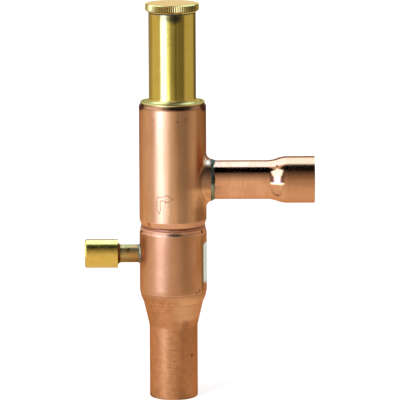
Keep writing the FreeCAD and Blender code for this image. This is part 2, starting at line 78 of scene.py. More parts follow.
class Nodes:
    """A node tree with short names for the nodes that the finishes use."""

    def __init__(self, tree):
        self.tree = tree

    def feed(self, socket, value):
        """Links another node's output to a socket, or sets the socket's own value."""
        if isinstance(value, bpy.types.NodeSocket):
            self.tree.links.new(value, socket)
        elif socket.type == "RGBA":
            socket.default_value = (*value, 1)
        else:
            socket.default_value = value

    def add(self, kind, inputs, **settings):
        node = self.tree.nodes.new("ShaderNode" + kind)
        for name, value in settings.items():
            setattr(node, name, value)
        for place, value in inputs.items():
            self.feed(node.inputs[place], value)
        return node

    def math(self, operation, *values):
        return self.add("Math", dict(enumerate(values)), operation=operation).outputs[0]

    def times(self, *values):
        result = values[0]
        for value in values[1:]:
            result = self.math("MULTIPLY", result, value)
        return result

    def either(self, *values):
        result = values[0]
        for value in values[1:]:
            result = self.math("MAXIMUM", result, value)
        return result

    def ramp(self, value, low, high, start=0.0, end=1.0, shape="SMOOTHSTEP"):
        """From the start level to the end level as the value runs from low to high."""
        inputs = {"Value": value, "From Min": low, "From Max": high, "To Min": start, "To Max": end}
        return self.add("MapRange", inputs, interpolation_type=shape).outputs[0]

    def within(self, value, low, high, soft):
        """1 between low and high, and 0 beyond them."""
        rise = self.ramp(value, low - soft, low + soft)
        fall = self.ramp(value, high - soft, high + soft, 1.0, 0.0)
        return self.times(rise, fall)

    def turn(self, x, y):
        """The azimuth of a place, in radians."""
        return self.math("ARCTAN2", x, self.math("MULTIPLY", y, -1.0))

    def mix(self, factor, first, second):
        """The first colour where the factor is 0 and the second where it is 1."""
        inputs = {0: factor, 6: first, 7: second}
        return self.add("Mix", inputs, data_type="RGBA").outputs[2]

    def scaled(self, vector, factors):
        return self.add("VectorMath", {0: vector, 1: factors}, operation="MULTIPLY").outputs[0]

    def noise(self, vector, scales, detail=2.0, roughness=0.5):
        """Noise with so many waves in a metre, as one number or as one for each axis."""
        if not isinstance(scales, tuple):
            scales = (scales,) * 3
        inputs = {
            "Vector": self.scaled(vector, scales), "Scale": 1.0, "Detail": detail,
            "Roughness": roughness,
        }
        return self.add("TexNoise", inputs).outputs[0]


# How much of a metal's reflection is white at a grazing angle. The rest keeps the metal's tint.
GRAZING_WHITE = 0.25
# The clear reflection over a turned brass surface
BRASS_COAT = 0.6


class Finish(Nodes):
    """A material on the object's own coordinates: x, y, z and the azimuth."""

    def __init__(self, name, color, roughness, metallic=1.0, coat=0.0, coat_roughness=0.2):
        self.material = bpy.data.materials.new(name)
        self.material.use_nodes = True
        super().__init__(self.material.node_tree)
        self.shader = self.tree.nodes["Principled BSDF"]
        self.paint(color)
        self.set("Metallic", metallic)
        self.set("Roughness", roughness)
        self.set("Coat Weight", coat)
        self.set("Coat Roughness", coat_roughness)
        if metallic:
            tint = tuple(GRAZING_WHITE + (1 - GRAZING_WHITE) * share for share in color)
            self.set("Specular Tint", tint)
        self.place = self.add("TexCoord", {}).outputs["Object"]
        parts = self.add("SeparateXYZ", {0: self.place}).outputs
        self.x, self.y, self.z = parts[0], parts[1], parts[2]
        self.azimuth = self.turn(self.x, self.y)

    def set(self, name, value):
        self.feed(self.shader.inputs[name], value)

    def paint(self, color):
        """Makes this the colour of the whole surface."""
        self.color = color
        self.set("Base Color", color)

    def lay(self, tint, *shares):
        """Lays a tint over the colour so far, as strongly as the product of the shares."""
        self.paint(self.mix(self.times(*shares), self.color, tint))

    def sector(self, low, high, soft):
        """1 between two azimuths in degrees, and 0 beyond them."""
        return self.within(self.azimuth, math.radians(low), math.radians(high), math.radians(soft))

    def bump(self, height, depth, normal=None):
        """A normal for relief so deep, over another relief's normal if there is one."""
        inputs = {"Height": height, "Strength": 1.0, "Distance": depth}
        if normal:
            inputs["Normal"] = normal
        return self.add("Bump", inputs).outputs[0]

    def distance(self, first, second):
        """The length of the line that goes along by the first value and across by the second."""
        return self.math("SQRT", self.math("ADD", self.times(first, first), self.times(second, second)))

    def from_level_axis(self, z):
        """The distance from a line along X at a height over the origin."""
        return self.distance(self.y, self.math("SUBTRACT", self.z, z))

    def from_upright_axis(self):
        return self.distance(self.x, self.y)

    def thread(self, along, angle, pitch):
        """A wave from 0 to 1 that winds round an axis as a screw thread does."""
        risen = self.math("DIVIDE", along, pitch)
        turned = self.math("DIVIDE", angle, math.tau)
        return self.math("PINGPONG", self.math("SUBTRACT", risen, turned), 0.5)

    def spot(self, azimuth, z, radius, size, soft, ragged=0.0, grain=900):
        """A blotch on an upright cylinder, at an azimuth in degrees and a height."""
        along = self.times(self.math("SUBTRACT", self.azimuth, math.radians(azimuth)), radius)
        up = self.math("SUBTRACT", self.z, z)
        wide, high = size
        away = self.distance(self.math("DIVIDE", along, wide), self.math("DIVIDE", up, high))
        if ragged:
            wander = self.noise(self.place, grain, 3.0)
            away = self.math("ADD", away, self.times(self.math("SUBTRACT", wander, 0.5), ragged))
        return self.ramp(away, 1.0 - soft, 1.0 + soft, 1.0, 0.0)

    def scratch(self, start, end, radius, width):
        """A thin line on an upright cylinder between two places of azimuth in degrees and height."""
        run = math.radians(end[0] - start[0]) * radius
        rise = end[1] - start[1]
        length = math.hypot(run, rise)
        across = self.times(self.math("SUBTRACT", self.azimuth, math.radians(start[0])), radius)
        up = self.math("SUBTRACT", self.z, start[1])
        ahead = self.math("ADD", self.times(across, run / length), self.times(up, rise / length))
        aside = self.math("SUBTRACT", self.times(across, rise / length), self.times(up, run / length))
        half = width / 2
        on_line = self.within(aside, -half, half, half)
        return self.times(on_line, self.within(ahead, 0.0, length, width * 2))


def upper_copper():
    """Spun copper, darker on its right with heat tints of the brazing and painted shade, with dark oxide
    and painted dark reflections at its top edge, and with a painted reflection, painted shade and a
    painted highlight round its collar.
    """
    f = Finish("spun_copper_upper", (0.66, 0.30, 0.12), 0.3, coat=0.12, coat_roughness=0.3)
    streaks = f.noise(f.place, (1400, 1400, 45), 3.0, 0.6)
    broad = f.noise(f.place, (180, 180, 60), 2.0, 0.5)
    fine = f.noise(f.place, 1700, 3.0, 0.6)
    f.paint(f.mix(f.ramp(broad, 0.35, 0.7), (0.66, 0.315, 0.135), (0.60, 0.275, 0.11)))
    f.lay((0.54, 0.21, 0.07), f.ramp(streaks, 0.5, 0.75, 0.0, 0.5))
    # Darker right side: partly heat tint, partly painted shade.
    darkened_right = f.sector(44, 118, 7)
    f.lay((0.36, 0.145, 0.05), darkened_right, 0.85)

    # Painted reflection: lighter under the outlet beside the collar. Painted shade: darker above it.
    from_outlet = f.from_level_axis(OUTLET_AXIS_Z)
    outlet_side = f.ramp(f.x, 2 * MM, 9 * MM)
    near_collar = f.times(f.ramp(from_outlet, 10 * MM, 16.5 * MM, 1.0, 0.0), outlet_side)
    under = f.ramp(f.z, OUTLET_AXIS_Z - 4 * MM, OUTLET_AXIS_Z - 1 * MM, 1.0, 0.0)
    f.lay((0.90, 0.42, 0.17), near_collar, under, 0.8)
    f.lay((0.30, 0.13, 0.06), near_collar, f.math("SUBTRACT", 1.0, under), 0.55)
    # Painted highlight on the top of the collar's fillet.
    collar_highlight_place = (14.6 * MM, -5.0 * MM, OUTLET_AXIS_Z + 9.6 * MM)
    to_collar_highlight = f.add("VectorMath", {0: f.place, 1: collar_highlight_place}, operation="DISTANCE")
    collar_painted_highlight = f.ramp(to_collar_highlight.outputs["Value"], 1.0 * MM, 3.0 * MM, 1.0, 0.0)
    f.lay((1.0, 0.74, 0.46), collar_painted_highlight, 0.8)
    # Painted reflection: a lighter patch below the flow arrow.
    painted_reflection_below_arrow = f.spot(12, 87 * MM, HOUSING_R, (4 * MM, 7 * MM), soft=0.8, ragged=0.6, grain=300)
    f.lay((0.80, 0.39, 0.18), painted_reflection_below_arrow, 0.6)
    patch = f.spot(46, 91 * MM, HOUSING_R, (2.6 * MM, 3.6 * MM), soft=0.6, ragged=1.4, grain=500)
    f.lay((0.88, 0.42, 0.18), patch, 0.7)
    stripe = f.times(
        f.spot(55, 114 * MM, HOUSING_R, (1.3 * MM, 10 * MM), soft=0.6), f.ramp(streaks, 0.38, 0.55)
    )
    f.lay((0.50, 0.16, 0.05), stripe, 0.6)
    # Painted shade: darker low on the right side of the upper body.
    painted_shade_low_right = f.spot(54, 86 * MM, HOUSING_R, (3.6 * MM, 7 * MM), soft=0.6, ragged=0.8, grain=400)
    f.lay((0.25, 0.10, 0.035), painted_shade_low_right, 0.6)

    oxide = f.within(f.z, OUTLET_TOP_Z - 2.1 * MM, OUTLET_TOP_Z + 0.6 * MM, 0.35 * MM)
    f.lay((0.36, 0.13, 0.04), oxide, 0.7)
    # Painted dark reflections at the front and at both sides of the top edge, over the oxide.
    painted_dark_reflections = f.either(
        f.spot(12, 133.5 * MM, HOUSING_R, (7.2 * MM, 1.05 * MM), soft=0.45, ragged=0.6),
        f.spot(-76, 133.1 * MM, HOUSING_R, (4.6 * MM, 1.7 * MM), soft=0.4, ragged=0.5),
        f.spot(72, 132.9 * MM, HOUSING_R, (4.0 * MM, 1.8 * MM), soft=0.4, ragged=0.5),
    )
    f.lay((0.03, 0.013, 0.005), painted_dark_reflections, 0.96)
    specks = f.either(
        f.spot(8.9, 127.6 * MM, HOUSING_R, (0.45 * MM, 0.3 * MM), soft=0.3, ragged=0.5),
        f.spot(22.8, 128.4 * MM, HOUSING_R, (0.4 * MM, 0.3 * MM), soft=0.3, ragged=0.5),
        f.spot(-36, 128.0 * MM, HOUSING_R, (0.3 * MM, 0.25 * MM), soft=0.3, ragged=0.5),
    )
    f.lay((0.10, 0.05, 0.03), specks, 0.8)
    lip = f.within(f.z, OUTLET_FOOT_Z - 0.9 * MM, OUTLET_FOOT_Z + 2.7 * MM, 0.25 * MM)
    f.lay((0.86, 0.40, 0.19), lip, 0.75)
    burr = f.spot(-46, 80.6 * MM, HOUSING_R, (1.2 * MM, 1.0 * MM), soft=0.4, ragged=1.0, grain=1500)
    f.lay((0.45, 0.16, 0.04), burr, 0.8)
    rough = f.ramp(f.noise(f.place, (260, 260, 30), 3.0), 0.3, 0.7, 0.27, 0.35)
    f.set("Roughness", f.math("ADD", rough, f.times(f.either(lip, oxide), 0.16)))
    lines = f.noise(f.place, (2600, 2600, 60), 2.0, 0.6)
    f.set("Normal", f.bump(f.math("ADD", lines, f.times(fine, 0.6)), 0.004 * MM))
    return f.material


def lower_copper():
    """Matt spun copper, rougher and more mottled on the cone and the inlet tube than on the body."""
    f = Finish("spun_copper_lower", (0.62, 0.26, 0.10), 0.4, coat=0.05, coat_roughness=0.4)
    mottle = f.noise(f.place, 420, 4.0, 0.6)
    broad = f.noise(f.place, (120, 120, 90), 2.0)
    fine = f.noise(f.place, 2300, 3.0, 0.65)
    body = f.mix(f.ramp(broad, 0.3, 0.7), (0.64, 0.29, 0.125), (0.58, 0.25, 0.10))
    tube = f.mix(f.ramp(mottle, 0.4, 0.65), (0.68, 0.28, 0.105), (0.58, 0.225, 0.08))
    on_body = f.ramp(f.z, 46.0 * MM, 48.5 * MM)
    f.paint(f.mix(on_body, tube, body))
    stains = f.ramp(f.noise(f.place, (900, 900, 700), 3.0, 0.7), 0.62, 0.78)
    f.lay((0.42, 0.15, 0.07), stains, 0.35)
    f.lay((0.38, 0.15, 0.06), f.ramp(fine, 0.5, 0.7, 0.0, 0.5))
    rub = f.noise(f.place, (420, 420, 5200), 3.0, 0.65)
    f.lay((0.36, 0.13, 0.05), f.ramp(rub, 0.5, 0.66), f.ramp(f.z, 34 * MM, 40 * MM, 0.5, 0.0))
    # Painted reflection: the cone lighter on its right side. Painted shade: the tube below it darker on
    # that side.
    right = f.sector(0, 150, 14)
    cone = f.times(f.within(f.z, 36 * MM, 47.5 * MM, 2 * MM), right)
    f.lay((0.84, 0.43, 0.20), cone, 0.5)
    shade_side = f.sector(13, 150, 11)
    shaded = f.times(shade_side, f.ramp(f.z, 32 * MM, 38 * MM, 1.0, 0.0))
    f.lay((0.46, 0.17, 0.06), shaded, 0.65)

    streaks = f.noise(f.place, (1100, 1100, 120), 3.0, 0.6)
    darkened_right = f.spot(52, 66 * MM, HOUSING_R, (2.4 * MM, 8 * MM), soft=0.7, ragged=0.8, grain=400)
    f.lay((0.46, 0.17, 0.05), darkened_right, f.ramp(streaks, 0.35, 0.6, 0.35, 0.9))
    # Painted shadow along the label's left edge.
    painted_label_shadow = f.times(f.sector(57, 66, 2.5), f.within(f.z, 50 * MM, 74 * MM, 2 * MM))
    f.lay((0.22, 0.12, 0.045), painted_label_shadow, 0.7)
    # Painted shade: darker at the upper left of the lower body.
    left = f.spot(-95, 72 * MM, HOUSING_R, (9 * MM, 5 * MM), soft=0.8, ragged=0.5, grain=400)
    f.lay((0.34, 0.115, 0.03), left, 0.75)

    smudge_size = (1.4 * MM, 1.9 * MM)
    smudge = f.spot(29.8, 34.4 * MM, INLET_TUBE_R, smudge_size, soft=0.6, ragged=1.6, grain=1500)
    marks = f.either(
        f.times(smudge, 0.5),
        f.spot(1.7, 17.9 * MM, INLET_TUBE_R, (0.5 * MM, 0.3 * MM), soft=0.3, ragged=0.5),
        f.spot(49.5, 20.1 * MM, INLET_TUBE_R, (0.8 * MM, 0.9 * MM), soft=0.4, ragged=0.8),
        f.spot(45, 49.5 * MM, HOUSING_R, (0.35 * MM, 0.8 * MM), soft=0.4, ragged=0.6),
        f.spot(51, 50.2 * MM, HOUSING_R, (0.3 * MM, 0.9 * MM), soft=0.4, ragged=0.6),
    )
    f.lay((0.12, 0.045, 0.02), marks, 0.72)
    lip = f.within(f.z, JOINT_Z - 1.8 * MM, JOINT_Z + 0.8 * MM, 0.15 * MM)
    f.lay((0.78, 0.36, 0.18), lip, 0.6)
    # Painted highlight: a light line at the lower edge of the shoulder.
    edge = f.within(f.z, JOINT_Z - 2.15 * MM, JOINT_Z - 1.9 * MM, 0.12 * MM)
    f.lay((0.95, 0.55, 0.32), edge, 0.7)
    # Painted dark reflections on the shoulder below the joint, at the front and a little to the left.
    painted_dark_reflections = f.either(
        f.spot(3, 76.4 * MM, HOUSING_R, (3.0 * MM, 0.8 * MM), soft=0.45, ragged=0.9, grain=1500),
        f.times(f.spot(-40, 76.4 * MM, HOUSING_R, (0.5 * MM, 0.4 * MM), soft=0.5), 0.6),
    )
    f.lay((0.10, 0.05, 0.03), painted_dark_reflections, 0.85)
    # Painted black reflections at the left and the right of the shoulder below the joint.
    black = f.either(
        f.spot(-70.9, 76.3 * MM, HOUSING_R, (1.1 * MM, 0.55 * MM), soft=0.35, ragged=0.5),
        f.spot(61.3, 76.6 * MM, HOUSING_R, (0.75 * MM, 0.75 * MM), soft=0.3, ragged=0.5),
    )
    f.lay((0.008, 0.005, 0.003), black, 0.97)

    wander = f.times(f.math("SUBTRACT", mottle, 0.5), 0.5 * MM)
    height = f.math("ADD", f.z, wander)
    # A painted shade line at each ridge of the cone, and a painted highlight line just above it.
    ridges = (48.0 * MM, 43.5 * MM)
    painted_ridge_shade, painted_ridge_highlights = (
        f.either(*(f.within(height, z + rise, z + rise + 0.3 * MM, 0.12 * MM) for z in ridges))
        for rise in (0.0, 0.5 * MM)
    )
    f.lay((0.40, 0.15, 0.055), painted_ridge_shade, 0.45)
    f.lay((0.90, 0.45, 0.22), painted_ridge_highlights, 0.5)
    scratches = f.either(
        f.scratch((29.2, 11.2 * MM), (29.2, 14.3 * MM), INLET_TUBE_R, 0.22 * MM),
        f.scratch((30.6, 13.2 * MM), (52.9, 9.8 * MM), INLET_TUBE_R, 0.22 * MM),
        f.scratch((-20, 15.1 * MM), (8, 14.9 * MM), INLET_TUBE_R, 0.16 * MM),
        f.scratch((-12, 23.2 * MM), (15, 22.8 * MM), INLET_TUBE_R, 0.14 * MM),
        f.scratch((-24, 43.0 * MM), (-14, 47.0 * MM), 13.6 * MM, 0.16 * MM),
    )
    f.lay((0.25, 0.09, 0.04), scratches, 0.6)
    rough = f.ramp(mottle, 0.3, 0.7, 0.36, 0.44)
    f.set("Roughness", f.math("ADD", rough, f.times(lip, 0.1)))
    grain = f.math("ADD", f.noise(f.place, (1500, 1500, 2600), 3.0, 0.6), f.times(painted_ridge_highlights, 1.5))
    f.set("Normal", f.bump(f.math("SUBTRACT", grain, f.times(scratches, 2.0)), 0.011 * MM))
    return f.material


def tube_copper():
    """Drawn copper, bright up to the expansion and duller on the socket beyond it."""
    f = Finish("drawn_copper_tube", (0.76, 0.35, 0.16), 0.1, coat=0.12, coat_roughness=0.1)
    rings = f.noise(f.place, (2600, 140, 140), 3.0, 0.6)
    wide_rings = f.noise(f.place, (700, 60, 60), 3.0, 0.6)
    broad = f.noise(f.place, (130, 160, 160), 2.0)
    f.paint(f.mix(f.ramp(broad, 0.3, 0.7), (0.80, 0.38, 0.18), (0.72, 0.32, 0.14)))
    f.lay((0.52, 0.21, 0.09), f.ramp(rings, 0.5, 0.72, 0.0, 0.4))
    f.lay((0.62, 0.23, 0.08), f.ramp(wide_rings, 0.52, 0.7, 0.0, 0.3))
    heat = f.ramp(f.x, 17.0 * MM, 27.0 * MM, 1.0, 0.0)
    f.lay((0.62, 0.24, 0.11), heat, 0.5)
    dull = f.ramp(f.x, 48.0 * MM, 52.0 * MM)
    f.lay((0.62, 0.27, 0.105), dull, 0.7)
    # Painted dark reflection: a darker band on the socket from about the axis up to just below its top.
    upper_side = f.ramp(f.z, OUTLET_AXIS_Z - 5 * MM, OUTLET_AXIS_Z + 3 * MM)
    band = f.ramp(f.z, OUTLET_AXIS_Z + 6.5 * MM, OUTLET_AXIS_Z + 8 * MM, 1.0, 0.0)
    f.lay((0.34, 0.13, 0.05), dull, upper_side, band, 0.75)
    spatter = f.times(
        f.ramp(f.noise(f.place, 650, 3.0, 0.6), 0.56, 0.66),
        f.ramp(f.x, 19.5 * MM, 22.0 * MM, 1.0, 0.0),
    )
    f.lay((0.16, 0.19, 0.13), spatter, 0.75)
    rough = f.ramp(broad, 0.3, 0.7, 0.10, 0.14)
    f.set("Roughness", f.math("ADD", rough, f.times(dull, 0.06)))
    f.set("Normal", f.bump(rings, 0.006 * MM))
    return f.material


def braze():
    """Silver braze, darker over the upper side of the outlet's joint."""
    f = Finish("braze_metal", (0.35, 0.38, 0.27), 0.3)
    patches = f.noise(f.place, 700, 4.0, 0.65)
    at_outlet = f.ramp(f.z, 80 * MM, 85 * MM)
    # Darker over the upper side of the outlet's joint, and dark olive towards its foot.
    dark_upper_side = f.ramp(f.z, OUTLET_AXIS_Z - 2 * MM, OUTLET_AXIS_Z + 0.5 * MM)
    foot = f.ramp(f.z, OUTLET_AXIS_Z - 7 * MM, OUTLET_AXIS_Z - 4.5 * MM, 1.0, 0.0)
    outlet = f.mix(dark_upper_side, (0.34, 0.30, 0.15), (0.05, 0.052, 0.028))
    outlet = f.mix(f.times(foot, 0.75), outlet, (0.17, 0.13, 0.05))
    f.paint(f.mix(at_outlet, (0.27, 0.22, 0.12), outlet))
    f.lay((0.30, 0.30, 0.20), f.ramp(patches, 0.5, 0.68, 0.0, 0.5), at_outlet)
    f.lay((0.03, 0.04, 0.03), f.ramp(patches, 0.3, 0.45, 0.8, 0.0))
    f.set("Roughness", f.ramp(patches, 0.3, 0.7, 0.36, 0.55))
    f.set("Normal", f.bump(patches, 0.12 * MM))
    return f.material


def turned_brass(name, dark, light, roughness):
    """Brass with fine turning rings across an upright axis."""
    f = Finish(name, light, roughness, coat=BRASS_COAT, coat_roughness=roughness)
    rings = f.noise(f.place, (80, 80, 9000), 2.0, 0.6)
    broad = f.noise(f.place, 150, 2.0)
    f.paint(f.mix(f.ramp(broad, 0.35, 0.65), light, dark))
    f.set("Roughness", f.ramp(broad, 0.3, 0.7, roughness * 0.8, roughness * 1.25))
    return f, rings


def machined_brass():
    """The rim between the two bodies has the look of copper, from the heat of the joint."""
    f, rings = turned_brass("machined_brass", (0.60, 0.36, 0.09), (0.68, 0.43, 0.12), 0.22)
    radius = f.from_upright_axis()
    rim = f.times(f.ramp(radius, 13.2 * MM, 13.4 * MM), f.within(f.z, 70 * MM, 82 * MM, 1 * MM))
    streaks = f.noise(f.place, (700, 700, 2500), 3.0, 0.6)
    copper = f.mix(f.ramp(streaks, 0.35, 0.65), (0.78, 0.32, 0.13), (0.60, 0.21, 0.08))
    # Painted shade lines along the rim's bottom and top edges, where it meets the two bodies.
    over_lower = f.ramp(f.z, JOINT_Z - 0.6 * MM, JOINT_Z - 0.2 * MM, 0.9, 0.0)
    under_upper = f.ramp(f.z, JOINT_Z + 0.3 * MM, JOINT_Z + 0.6 * MM, 0.0, 0.9)
    f.lay(f.mix(f.either(over_lower, under_upper), copper, (0.26, 0.075, 0.025)), rim)
    f.set("Roughness", f.ramp(rim, 0.0, 1.0, 0.22, 0.45))
    on_screw = f.within(f.z, SCREW_FOOT_Z - 0.05 * MM, SCREW_TOP_Z + 0.05 * MM, 0.05 * MM)
    outside = f.ramp(radius, SCREW_THREAD_R - 0.8 * MM, SCREW_THREAD_R - 0.6 * MM)
    wound = f.times(f.thread(f.z, f.azimuth, SCREW_PITCH), on_screw, outside)
    f.set("Normal", f.bump(wound, SCREW_THREAD_DEPTH, f.bump(rings, 0.003 * MM)))
    return f.material


def sleeve_brass():
    """A bright sleeve with a matt flange, and a screw thread inside its mouth."""
    roughness = 0.13
    f, rings = turned_brass("sleeve_brass", (0.66, 0.43, 0.05), (0.69, 0.455, 0.06), roughness)
    radius = f.from_upright_axis()
    flange = f.ramp(f.z, OUTLET_TOP_Z + 0.9 * MM, OUTLET_TOP_Z + 3.1 * MM, 1.0, 0.0)
    # Painted dark reflection at the top of the sleeve under the cap, with painted shade to its left.
    painted_reflection_spot = f.spot(6.4, 173.4 * MM, SLEEVE_R, (2.9 * MM, 2.3 * MM), soft=0.6, ragged=0.8, grain=1300)
    shade = f.spot(-19, 173.9 * MM, SLEEVE_R, (2.6 * MM, 1.9 * MM), soft=0.7, ragged=0.6, grain=1300)
    tarnish = f.ramp(f.noise(f.place, (700, 700, 500), 4.0, 0.7), 0.66, 0.8)
    f.lay((0.30, 0.20, 0.04), tarnish, 0.4)
    f.lay((0.26, 0.20, 0.03), shade, 0.7)
    f.lay((0.02, 0.03, 0.012), painted_reflection_spot, 0.9)
    f.lay((0.64, 0.47, 0.16), flange, 0.85)
    # Painted shadow round the sleeve's foot on the flange, at its left and right sides.
    painted_foot_shade = f.times(
        f.within(radius, 12.5 * MM, 13.2 * MM, 0.15 * MM),
        f.ramp(f.noise(f.place, 300, 2.0), 0.4, 0.6, 0.4, 1.0),
    )
    sides = f.ramp(f.math("ABSOLUTE", f.x), 8.0 * MM, 10.5 * MM)
    f.lay((0.10, 0.12, 0.05), flange, painted_foot_shade, sides, 0.8)
    f.set("Roughness", f.ramp(flange, 0.0, 1.0, roughness, 0.36))
    f.set("Coat Weight", f.ramp(flange, 0.0, 0.6, BRASS_COAT, 0.0))
    inside = f.ramp(radius, SCREW_THREAD_R + 0.2 * MM, SCREW_THREAD_R + 0.3 * MM, 1.0, 0.0)
    over_spring = f.ramp(f.z, 147 * MM, 148 * MM)
    wound = f.times(f.thread(f.z, f.azimuth, SCREW_PITCH), inside, over_spring)
    f.set("Normal", f.bump(wound, SCREW_THREAD_DEPTH, f.bump(rings, 0.003 * MM)))
    return f.material


def cap_brass():
    """A turned top, knurls with painted shade in their roots, and a threaded stub."""
    f = Finish("cap_brass", (0.80, 0.60, 0.22), 0.25)
    f.set("Specular Tint", (0.94, 0.80, 0.46))
    radius = f.from_upright_axis()
    rings_place = f.add("CombineXYZ", {0: radius, 1: 0.0, 2: 0.0}).outputs[0]
    rings = f.noise(rings_place, (2600, 1, 1), 2.0, 0.6)
    broad = f.noise(f.place, 160, 2.0)
    f.paint(f.mix(f.ramp(broad, 0.35, 0.65), (0.76, 0.55, 0.17), (0.72, 0.49, 0.13)))
    f.lay((0.62, 0.42, 0.10), f.ramp(rings, 0.5, 0.7, 0.0, 0.3))
    outer = f.ramp(radius, CAP_R - 0.6 * MM, CAP_R - 0.4 * MM)
    side = f.times(outer, f.ramp(f.z, CAP_TOP_Z - 0.45 * MM, CAP_TOP_Z - 0.2 * MM, 1.0, 0.0))
    f.lay((0.67, 0.45, 0.13), side)
    # Painted shade in the knurl roots.
    painted_root_shade = f.times(side, f.ramp(radius, CAP_R - 0.24 * MM, CAP_R - 0.06 * MM, 1.0, 0.0))
    f.lay((0.09, 0.06, 0.015), painted_root_shade, 0.9)
    f.set("Roughness", f.ramp(side, 0.0, 1.0, 0.15, 0.28))
    stub = f.ramp(f.z, CAP_FOOT_Z - 0.6 * MM, CAP_FOOT_Z - 0.3 * MM, 1.0, 0.0)
    outside = f.ramp(radius, SCREW_THREAD_R - 1.0 * MM, SCREW_THREAD_R - 0.8 * MM)
    wound = f.times(f.thread(f.z, f.azimuth, SCREW_PITCH), stub, outside)
    f.set("Normal", f.bump(wound, SCREW_THREAD_DEPTH, f.bump(rings, 0.0015 * MM)))
    return f.material


def port_brass():
    """The stem: a neck with braze flux on it and painted shade on its underside, a collar by the cap
    painted dark as a reflection, and the flare thread beyond.
    """
    f = Finish("port_brass", (0.55, 0.33, 0.10), 0.25)
    patches = f.noise(f.place, 380, 3.0, 0.6)
    from_left = f.ramp(f.x, -22.5 * MM, -16.5 * MM)
    f.paint(f.mix(from_left, (0.50, 0.30, 0.08), (0.50, 0.22, 0.06)))
    f.lay((0.26, 0.24, 0.09), f.ramp(patches, 0.5, 0.64, 0.0, 0.7))
    f.lay((0.26, 0.12, 0.05), f.ramp(patches, 0.34, 0.46, 0.6, 0.0))
    # Painted shade on the neck's underside.
    painted_shade_underside = f.ramp(f.z, PORT_AXIS_Z - 2.2 * MM, PORT_AXIS_Z - 0.5 * MM, 1.0, 0.0)
    f.lay((0.24, 0.10, 0.03), painted_shade_underside, 0.5)
    # Painted reflection: the collar by the cap made dark, as it reflects the body's dark side.
    collar = f.ramp(f.x, -23.9 * MM, -23.5 * MM, 1.0, 0.0)
    f.lay((0.15, 0.06, 0.025), collar, 0.85)
    beyond = f.ramp(f.x, -25.6 * MM, -25.3 * MM, 1.0, 0.0)
    f.lay((0.66, 0.42, 0.12), beyond)
    f.set("Roughness", f.ramp(patches, 0.3, 0.7, 0.24, 0.4))
    radius = f.from_level_axis(PORT_AXIS_Z)
    up = f.math("SUBTRACT", f.z, PORT_AXIS_Z)
    angle = f.math("ARCTAN2", up, f.y)
    threaded = f.within(f.x, -FLARE_END, -FLARE_START, 0.2 * MM)
    outside = f.ramp(radius, 4.6 * MM, 4.8 * MM)
    wound = f.times(f.thread(f.x, angle, FLARE_PITCH), threaded, outside)
    f.set("Normal", f.bump(wound, FLARE_THREAD_DEPTH, f.bump(patches, 0.03 * MM)))
    return f.material


def port_cap_brass():
    """Polished brass with faint turning rings across the port's axis."""
    f = Finish("port_cap_brass", (0.80, 0.46, 0.07), 0.12, coat=0.8, coat_roughness=0.2)
    rings = f.noise(f.place, (6500, 90, 90), 2.0, 0.6)
    broad = f.noise(f.place, 200, 2.0)
    f.paint(f.mix(f.ramp(broad, 0.3, 0.7), (0.80, 0.49, 0.075), (0.75, 0.44, 0.05)))
    f.set("Roughness", f.ramp(broad, 0.3, 0.7, 0.2, 0.27))
    f.set("Normal", f.bump(rings, 0.004 * MM))
    return f.material


def plain_metal(name, first, second, roughness, grain):
    """A metal with patches of two colours that differ a little in gloss."""
    f = Finish(name, first, roughness)
    patches = f.noise(f.place, grain, 3.0, 0.6)
    f.paint(f.mix(f.ramp(patches, 0.35, 0.65), first, second))
    f.set("Roughness", f.ramp(patches, 0.3, 0.7, roughness * 0.8, roughness * 1.3))
    f.set("Normal", f.bump(patches, 0.01 * MM))
    return f.material


def soft_material(name, first, second, roughness, grain):
    """Rubber or plastic with patches of two colours and a fine grain."""
    f = Finish(name, first, roughness, metallic=0.0)
    patches = f.noise(f.place, grain, 4.0, 0.65)
    f.paint(f.mix(f.ramp(patches, 0.35, 0.65), first, second))
    f.set("Roughness", f.ramp(patches, 0.3, 0.7, roughness * 0.85, min(1.0, roughness * 1.15)))
    f.set("Normal", f.bump(patches, 0.02 * MM))
    return f.material


finishes = {
    "upper_copper": upper_copper(),
    "lower_copper": lower_copper(),
    "tube_copper": tube_copper(),
    "braze": braze(),
    "machined_brass": machined_brass(),
    "sleeve_brass": sleeve_brass(),
    "cap_brass": cap_brass(),
    "port_brass": port_brass(),
    "port_cap_brass": port_cap_brass(),
    "core_brass": plain_metal("core_brass", (0.66, 0.42, 0.12), (0.58, 0.35, 0.09), 0.25, 1500),
    "core_steel": plain_metal("core_steel", (0.55, 0.55, 0.53), (0.44, 0.44, 0.43), 0.3, 1500),
    "spring_steel": plain_metal("spring_steel", (0.36, 0.36, 0.37), (0.25, 0.25, 0.27), 0.33, 700),
    "bellows_metal": plain_metal("bellows_metal", (0.60, 0.56, 0.50), (0.52, 0.46, 0.38), 0.24, 500),
    "black_gasket": soft_material("black_gasket", (0.018, 0.02, 0.018), (0.03, 0.03, 0.027), 0.6, 2500),
    "gauge_gasket": soft_material("gauge_gasket", (0.03, 0.03, 0.028), (0.05, 0.05, 0.045), 0.65, 2500),
    "facing_plastic": soft_material("facing_plastic", (0.72, 0.71, 0.66), (0.63, 0.62, 0.57), 0.45, 900),
}

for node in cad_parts.values():
    for slot in node.material_slots:
        slot.material = finishes[slot.material.name.split(".")[0]]


# Label and flow arrow

LABEL_THICKNESS = 0.06 * MM
LABEL_R = HOUSING_R + LABEL_THICKNESS + 0.01 * MM
LABEL_START = math.radians(64)
LABEL_LENGTH = 35 * MM
LABEL_FOOT_Z = 52.9 * MM
LABEL_HEIGHT = 18.3 * MM
LABEL_CORNER = 1.5 * MM
LABEL_LINE_Z = 61.7 * MM
LABEL_LINE_HEIGHT = 0.3 * MM


